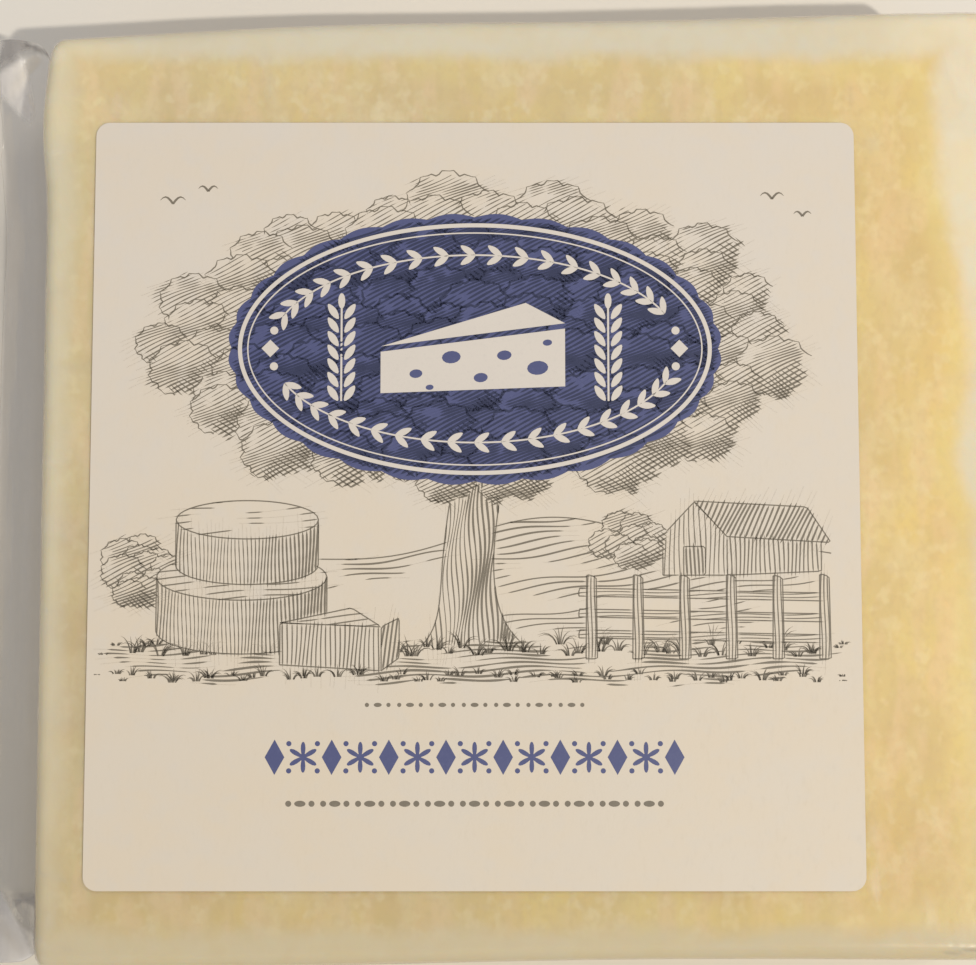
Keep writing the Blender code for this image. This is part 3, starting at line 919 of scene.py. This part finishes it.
def foliage(middleU, middleV, halfU, halfV, count, sizes, pitch=0.36):
    # leafy clumps spread over an oval, each light at its upper left; the lower ones lie in front
    order = np.arange(count) + 0.5
    ray, angle = np.sqrt(order / count), order * 2.39996
    jitter = dice.uniform(-0.5, 0.5, (count, 2))
    u = middleU + (halfU - sizes[0]) * ray * np.cos(angle) + jitter[:, 0]
    v = middleV + (halfV - sizes[0]) * ray * np.sin(angle) + jitter[:, 1]
    size = dice.uniform(*sizes, count)
    clumps = np.stack([u, v, size], -1)[np.argsort(-v)]

    def shade(pointU, pointV):
        # the tone of the foremost clump over each point, or -1 where there is none
        tone = np.full(pointU.shape, -1.0)
        ragged = 0.20 * noise2(pointU, pointV, 0.8, 75) + 0.14 * noise2(pointU, pointV, 2.1, 76)
        for clump in clumps:
            across, up = inClump(pointU, pointV, clump)
            dark = 0.10 + 0.85 * smoothstep(-0.9, 1.1, across * 0.65 - up * 0.75 + 0.5 * ragged)
            tone = np.where(across ** 2 + up ** 2 < (1 + ragged) ** 2, dark, tone)
        return tone
    leaves = {
        "mask": lambda u, v: shade(u, v) >= 0,
        "tone": lambda u, v: shade(u, v) + 0.30 * noise2(u, v, 0.9, 77),
        "box": (middleU - halfU - 2, middleV - halfV - 2, middleU + halfU + 2, middleV + halfV + 2)}
    return [
        {**leaves, "angle": 24, "pitch": pitch, "sway": 0.22, "strokes": [leafRims(clumps)]},
        {**leaves, "angle": -38, "pitch": pitch * 1.25, "sway": 0.2, "over": True,
         "tone": lambda u, v: (shade(u, v) - 0.55) * 1.1}]


def inClump(u, v, clump):
    clumpU, clumpV, size = clump
    return (u - clumpU) / size, (v - clumpV) / (size * 0.8)


def leafRims(clumps, bars=9):
    # a leafy outline along the light side of each clump, hidden where a nearer clump covers it
    turn = np.radians(20 + 235 * barNumbers(bars) / (bars * (engraving["barPoints"] - 1)))
    reach = 0.94 + 0.13 * np.abs(np.sin(turn * 5.0)) + 0.03 * np.sin(turn * 23)
    offset = np.stack([reach * np.cos(turn), 0.8 * reach * np.sin(turn)], -1)
    points = clumps[:, None, None, :2] + offset * clumps[:, 2, None, None, None]
    widths = np.broadcast_to(0.05 + 0.09 * np.abs(np.cos(turn * 5.0)), points.shape[:-1]).copy()
    for number, clump in enumerate(clumps):
        across, up = inClump(points[:number, ..., 0], points[:number, ..., 1], clump)
        widths[:number][across ** 2 + up ** 2 < 0.97] = 0.0
    return points.reshape(-1, *points.shape[2:]), widths.reshape(-1, widths.shape[-1])


def trunkShape():
    ground = engraving["ground"]

    def lean(v):
        return 0.7 * np.sin(v / 5.0)

    def spread(v):
        return 2.5 + 5.5 * np.exp(-(v - ground + 1.2) / 2.4) + 3.0 * smoothstep(0, 9, v)

    def mask(u, v):
        foot = ground - 1.4 + 0.8 * noise2(u, v, 1.5, 79)
        return (np.abs(u - lean(v)) < spread(v)) & (v > foot) & (v < 9)

    def tone(u, v):
        bark = 0.40 * noise2(u * 1.6, v * 0.35, 0.9, 80)
        return 0.34 + 0.55 * smoothstep(-0.7, 0.9, (u - lean(v)) / spread(v)) + bark
    heights = np.linspace(ground - 1.0, 9, 40)
    sides = [np.stack([lean(heights) + hand * spread(heights), heights], -1) for hand in (-1, 1)]
    return {"mask": mask, "tone": tone, "angle": 88, "pitch": 0.40, "sway": 0.28,
            "box": (-9, ground - 2, 9, 9), "lines": sides}


def landShape():
    # a strip of rough ground, darker in patches, that thins out at both ends
    ground = engraving["ground"]

    def mask(u, v):
        fade = smoothstep(38.5, 30.0, np.abs(u))
        upper = ground + (0.9 + 0.9 * noise2(u, v * 0, 4.0, 81)) * fade
        lower = ground - (2.9 + 0.8 * noise2(u, v * 0, 3.0, 82)) * fade
        return (v < upper) & (v > lower) & (np.abs(u) < 38.4)
    return {"mask": mask, "tone": lambda u, v: 0.22 + 0.75 * noise2(u * 0.45, v, 0.9, 83), "angle": 2,
            "pitch": 0.46, "sway": 0.2, "box": (-38.5, ground - 5, 38.5, ground + 3)}


def hillShape():
    def top(u):
        return -5.2 + 2.6 * np.sin(u / 13.0 + 0.8) + 0.9 * np.sin(u / 4.6)

    def mask(u, v):
        return (v < top(u)) & (v > engraving["ground"]) & (np.abs(u) < 37)

    def tone(u, v):
        fade = smoothstep(-15, -5, v) * smoothstep(37, 26, np.abs(u))
        return (0.10 + 0.32 * noise2(u * 0.5, v * 1.5, 2.6, 84)) * fade
    ridge = np.linspace(-36, 36, 90)
    return {"mask": mask, "tone": tone, "angle": 7, "pitch": 0.66, "sway": 0.25,
            "box": (-37, engraving["ground"], 37, 0), "lines": [np.stack([ridge, top(ridge)], -1)]}


def fenceShapes():
    # rails first, then the posts in front of them
    ground = engraving["ground"]
    faces = []
    for low in ground + 1.3 + 2.1 * np.arange(3):
        corners = [(10.5, low), (35.5, low - 0.5), (35.5, low + 0.3), (10.5, low + 0.8)]
        faces.append(plane(corners, tone=0.28, angle=1, pitch=0.36))
    for post in range(6):
        left, foot, top = 11.2 + 4.7 * post, ground - 0.8, ground + 7.4 + 0.35 * math.sin(3.1 * post)
        corners = [(left, foot), (left + 1.15, foot), (left + 1.05, top), (left + 0.1, top + 0.3)]
        faces.append(plane(corners, tone=0.45, angle=89, pitch=0.34))
    return faces


def barnShapes():
    # the gable wall, the long wall, the roof and the door
    base = -7.6
    return [
        plane([(19.0, base), (25.5, base), (25.5, base + 4.0), (22.2, base + 7.4), (19.0, base + 4.0)],
              0.14, 90, 0.5),
        plane([(25.5, base), (35.0, base + 0.4), (35.0, base + 3.6), (25.5, base + 4.0)], 0.36, 90, 0.44),
        plane([(25.5, base + 3.9), (36.0, base + 3.3), (33.6, base + 6.9), (22.2, base + 7.5)],
              0.62, 64, 0.44),
        plane([(21.1, base), (23.3, base), (23.3, base + 2.9), (21.1, base + 2.9)], 0.85, 90, 0.36)]


def wedgeShapes():
    # a cut piece lying in front of the wheels
    return [
        plane([(-19.6, -16.6), (-9.4, -17.2), (-9.4, -12.8), (-19.6, -12.4)], 0.30, 88, 0.44),
        plane([(-19.6, -12.4), (-9.4, -12.8), (-12.4, -10.9)], 0.05, 5, 0.6),
        plane([(-9.4, -17.2), (-7.6, -15.9), (-7.6, -11.9), (-9.4, -12.8)], 0.78, 80, 0.38)]


def grassStrokes(count, low, high, sizes):
    # tufts of blades that fan out from points along the ground
    tufts = np.linspace(-37.5, 37.5, count) + dice.uniform(-0.9, 0.9, count)
    feet = engraving["ground"] + dice.uniform(low, high, count)
    size = dice.uniform(*sizes, count) * smoothstep(39, 33, np.abs(tufts))
    lean = np.radians(dice.uniform(-52, 52, (count, 9)))
    length = size[:, None] * dice.uniform(0.5, 1.0, lean.shape)
    angle = lean[..., None] * (0.5 + barShare ** 2 * 0.9)
    u = tufts[:, None, None] + length[..., None] * barShare * np.sin(angle) + lean[..., None] * 0.4
    v = feet[:, None, None] + length[..., None] * barShare * np.cos(angle)
    points = np.stack([u, v], -1).reshape(-1, len(barShare), 2)
    return points, np.tile(0.14 * (1 - barShare ** 2), (len(points), 1))


def birdStrokes():
    bars = []
    for u, v, size in ((-31, 30.5, 1.3), (-27.4, 31.8, 1.0), (30.5, 31.0, 1.2), (33.6, 29.2, 0.9)):
        for hand in (-1, 1):
            bars.append(np.stack([u + hand * size * barShare, v + 0.55 * size * np.sin(barShare * 2.6)], -1))
    return np.array(bars), np.tile(0.20 * (1 - barShare ** 2) + 0.03, (len(bars), 1))


def drawScenery():
    # every shape from back to front; each one hides what lies behind it
    shapes = [
        {"strokes": [birdStrokes()]}, hillShape(), *barnShapes(),
        *foliage(16.0, -4.2, 4.2, 3.4, 9, (1.3, 2.0)), *foliage(-33.2, -7.6, 4.2, 4.6, 12, (1.4, 2.2)),
        trunkShape(), *foliage(*engraving["crown"], engraving["crownLobes"], engraving["lobeSize"]),
        landShape(), {"strokes": [grassStrokes(70, -0.6, 0.7, (0.9, 2.6))]}, *fenceShapes(),
        *drum(-23.5, -13.2, 8.6, 5.4), *drum(-23.0, -6.6, 7.2, 4.6), *wedgeShapes(),
        {"strokes": [grassStrokes(58, -3.2, -2.3, (0.6, 1.5))]}]
    drawn = []
    for number, shape in enumerate(shapes):
        outlines = [penStrokes(line, engraving["outline"]) for line in shape.get("lines", [])]
        sets = shape.get("strokes", []) + outlines
        if "mask" in shape:
            sets.append(hatchStrokes(shape))
        points, widths = (np.concatenate(part) for part in zip(*sets))
        points, widths = points[widths.max(-1) > 0], widths[widths.max(-1) > 0]
        for later in shapes[number + 1:]:
            if "mask" in later and not later.get("over"):
                widths = np.where(later["mask"](points[..., 0], points[..., 1]), 0.0, widths)
        drawn.append((points, widths))
    return (np.concatenate(part) for part in zip(*drawn))


def barMesh(points, widths, lifts):
    # each bar as a closed flat body; returns points and faces
    keep = widths.max(-1) > engraving["leastWidth"]
    points, widths = points[keep], np.maximum(widths[keep], engraving["thinnest"])
    run = np.gradient(points, axis=1)
    run /= np.maximum(np.linalg.norm(run, axis=-1, keepdims=True), 1e-9)
    side = np.stack([-run[..., 1], run[..., 0]], -1) * widths[..., None] / 2
    low, high = lifts
    rim = [onPaper(points + hand * side, lift) for hand, lift in ((1, high), (-1, high), (-1, low), (1, low))]
    corner = np.arange(widths.size * 4).reshape(*widths.shape, 4)
    here, following = corner[:, :-1], corner[:, 1:]
    walls = np.stack([here, np.roll(here, -1, -1), np.roll(following, -1, -1), following], -1)
    faces = np.concatenate([walls.reshape(-1, 4), corner[:, 0, ::-1], corner[:, -1]])
    return np.stack(rim, 2).reshape(-1, 3), faces


def ruleMesh(line, width, lifts):
    # one unbroken line of even width
    return barMesh(line[None], np.full((1, len(line)), width), lifts)


def joinMeshes(parts):
    # several (points, four-cornered faces, three-cornered faces) as one
    first, faceSets = 0, [[], []]
    for points, *sets in parts:
        for faces, joined in zip(sets, faceSets):
            joined.append(faces + first)
        first += len(points)
    return np.concatenate([part[0] for part in parts]), [np.concatenate(faces) for faces in faceSets if faces]


def ovals(lifts, places, halfLong, halfWide, turns=0.0, corners=14, point=1.0):
    # leaves, dots and lozenges: ovals turned by an angle; point below 1 draws in the shoulders
    places = np.asarray(places, float)
    angle = np.linspace(0, 2 * np.pi, corners, endpoint=False)
    turns, halfLong, halfWide = (
        np.broadcast_to(part, len(places))[:, None] for part in (turns, halfLong, halfWide))
    long, wide = (half * np.sign(part) * np.abs(part) ** (1 / point)
                  for half, part in ((halfLong, np.cos(angle)), (halfWide, np.sin(angle))))
    u = places[:, :1] + long * np.cos(turns) - wide * np.sin(turns)
    v = places[:, 1:] + long * np.sin(turns) + wide * np.cos(turns)
    return flatBodies(np.stack([u, v], -1), lifts)


def onPlaque(points, margin):
    middleU, middleV, halfU, halfV = engraving["plaque"]
    across, up = (points[..., 0] - middleU) / (halfU - margin), (points[..., 1] - middleV) / (halfV - margin)
    return across ** 2 + up ** 2 < 1


def plaqueRing(margin, angles):
    middleU, middleV, halfU, halfV = engraving["plaque"]
    u, v = middleU + (halfU - margin) * np.cos(angles), middleV + (halfV - margin) * np.sin(angles)
    return np.stack([u, v], -1)


def creamParts():
    # on the plaque: two rules, a wreath of paired leaves, and a cut cheese with sprigs beside it
    lifts, leafLifts, wreath = engraving["creamLift"], engraving["leafLift"], 4.35
    turn = np.linspace(0, 2 * np.pi, 181)
    parts = [ruleMesh(plaqueRing(1.25, turn), 0.42, lifts), ruleMesh(plaqueRing(2.05, turn), 0.14, lifts)]
    for low, high in ((22, 158), (202, 338)):
        angle = np.radians(np.linspace(low, high, 19))
        parts.append(ruleMesh(plaqueRing(wreath, np.linspace(angle[0], angle[-1], 90)), 0.17, lifts))
        spots, ahead = plaqueRing(wreath, angle), plaqueRing(wreath, angle + 0.01)
        heading = np.arctan2(*(ahead - spots).T[::-1])
        for hand in (-1, 1):
            slant = heading + hand * math.radians(34)
            places = spots + 0.85 * np.stack([np.cos(slant), np.sin(slant)], -1)
            parts.append(ovals(leafLifts, places, 0.92, 0.34, slant, point=0.8))
    parts.append(ovals(lifts, plaqueRing(wreath, np.array([0, np.pi])), 0.9, 0.9, corners=4))
    parts.append(ovals(lifts, plaqueRing(wreath, np.radians([11, 169, 191, 349])), 0.42, 0.42))

    middle = np.array(engraving["plaque"][:2])
    lid, wall = [[9.2, 2.6], [5.2, 4.7], [-9.6, 0.2]], [[-9.6, -4.6], [9.2, -3.9], [9.2, 2.05], [-9.6, -0.35]]
    for corners in (lid, wall):
        parts.append(flatBodies(middle + np.array([corners]), lifts))
    rise = np.linspace(-4.2, 4.2, 7)
    for hand in (-1, 1):
        stem = middle + [hand * 13.6, -0.4]
        parts.append(ruleMesh(stem + np.array([[0, -5.0], [0, 4.6]]), 0.2, lifts))
        for side in (-1, 1):
            places = stem + np.stack([np.full(7, side * 0.85), rise], -1)
            parts.append(ovals(leafLifts, places, 0.95, 0.38, np.pi / 2 - side * 0.6, point=0.8))
        parts.append(ovals(leafLifts, [stem + [0, 5.3]], 0.8, 0.36, np.pi / 2))
    return joinMeshes(parts)


def blueParts():
    # the scalloped plaque, the marks on the cheese, and the row of ornaments under the picture
    angle = np.linspace(0, 2 * np.pi, engraving["scallops"] * 12, endpoint=False)
    bump = engraving["scallopDepth"] * np.abs(np.sin(angle * engraving["scallops"] / 2))
    plaque = flatBodies(plaqueRing(engraving["scallopDepth"] - bump, angle)[None], engraving["blueLift"], 26)
    marks = np.array([
        [-6.0, -2.6], [-2.4, -0.9], [0.6, -3.0], [3.0, -0.7], [6.4, -2.0], [7.4, 0.6], [-4.6, -4.0]])
    sizes = np.array([0.55, 0.8, 0.6, 0.62, 0.9, 0.40, 0.34])
    marks = ovals(engraving["detailLift"], marks + engraving["plaque"][:2], sizes * 1.2, sizes * 0.8, 0.1)

    lifts, row, pitch, steps = engraving["sepiaLift"], -25.8, 2.86, np.arange(-7, 8)
    spots = np.stack([steps * pitch, np.full(15, row)], -1)
    angle = np.linspace(0, 2 * np.pi, 72, endpoint=False)
    reach = 0.34 + 1.2 * np.abs(np.sin(3 * angle)) ** 2.2
    petals = reach[:, None] * np.stack([np.cos(angle), np.sin(angle)], -1)
    dots = np.stack([np.repeat((steps[:-1] + 0.5) * pitch, 2), np.tile([row - 1.35, row + 1.35], 14)], -1)
    return joinMeshes([
        plaque, marks, ovals(lifts, spots[::2], 0.98, 1.75, corners=4),
        flatBodies(spots[1::2, None] + petals, lifts), ovals(lifts, dots, 0.26, 0.26)])


def sepiaParts(points, widths):
    lifts = engraving["sepiaLift"]
    parts = [barMesh(points, np.where(onPlaque(points, 0.8), 0.0, widths), lifts)]
    for row, reach, count, size in ((-20.6, 10.8, 21, 0.21), (-30.4, 18.6, 33, 0.30)):
        dots = np.stack([np.linspace(-reach, reach, count), np.full(count, row)], -1)
        parts.append(ovals(lifts, dots, np.where(np.arange(count) % 3 == 1, size * 1.9, size), size))
    return joinMeshes(parts)


def navyParts(points, widths):
    factor, more = engraving["overprint"]
    widths = np.where(onPlaque(points, 0.6) & (widths > 0), widths * factor + more, 0.0)
    return joinMeshes([barMesh(points, widths, engraving["navyLift"])])


inks = {                          # colour, colour where it is worn thin, gloss as roughness, slot
    "printBlue": ((0.080, 0.088, 0.198), (0.112, 0.120, 0.236), 0.42, "print_blue"),
    "printSepia": ((0.195, 0.160, 0.112), (0.300, 0.255, 0.190), 0.55, "print_sepia"),
    "printCream": ((0.720, 0.640, 0.545), (0.640, 0.575, 0.500), 0.50, "print_cream"),
    "printNavy": ((0.028, 0.033, 0.080), (0.046, 0.052, 0.112), 0.42, "print_navy"),
}


def inkMaterial(name, colour, worn, roughness):
    # ink on paper: it lies a little thinner over the fibres
    material, tree, place = newMaterial(name)
    thin, broad = blotches(tree, place, 0.45 * mm, 0.50, 0.80), blotches(tree, place, 5 * mm, 0.30, 0.75)
    share = calc(tree, "MULTIPLY_ADD", thin, 0.40, calc(tree, "MULTIPLY", broad, 0.18))
    setSurface(tree, {
        "Base Color": blend(tree, share, colour, worn),
        "Roughness": ramp(tree, thin, 0.0, 1.0, roughness, roughness + 0.1),
        "Normal": relief(tree, place, strength=0.18, **paper["relief"])})
    return material


def makePrint():
    points, widths = drawScenery()
    meshes = {"printBlue": blueParts(), "printSepia": sepiaParts(points, widths), "printCream": creamParts(),
              "printNavy": navyParts(points, widths)}
    for name, (meshPoints, faceSets) in meshes.items():
        colour, worn, roughness, slotName = inks[name]
        material = inkMaterial(name, colour, worn, roughness)
        addMesh(name, meshPoints, faceSets, material, smooth=False)
        print(name, "triangles:", sum(len(faces) * (faces.shape[1] - 2) for faces in faceSets))


floorLooks = {
    "size": 3.0,
    "height": -0.05 * mm,
    "colour": (0.800, 0.737, 0.642),
    "colourDark": (0.780, 0.724, 0.638),
    # painted light: warmer and a little darker towards the front
    "frontPaintedShading": (1.0, 0.98, 0.91),
    "relief": {"grain": 0.8 * mm, "pit": 5 * mm, "pitDepth": 0.1, "strength": 0.08, "distance": 0.1 * mm},
}


def makeFloor():
    bpy.ops.mesh.primitive_plane_add(size=floorLooks["size"], location=(0, 0, floorLooks["height"]))
    floor = bpy.context.object
    floor.name = "floor"
    material, tree, place = newMaterial("paleTable")
    patches = blotches(tree, place, 0.05, 0.3, 0.7)
    colour = blend(tree, patches, floorLooks["colour"], floorLooks["colourDark"])
    # painted light: the floor turns warmer and a little darker towards the front
    forward = ramp(tree, addNode(tree, "SeparateXYZ", {0: place}).outputs[1], -0.050, 0.030, 1.0, 0.0)
    setSurface(tree, {
        "Base Color": tinted(tree, forward, colour, floorLooks["frontPaintedShading"]), "Roughness": 0.6,
        "Normal": relief(tree, place, **floorLooks["relief"])})
    floor.data.materials.append(material)


makeCamera()
makeLight()
makeFloor()
print("camera, light and floor made")
makeCheese()
print("cheese made")
makeFilm()
print("film made")
makePaper()
makePrint()
print("paper and print made")
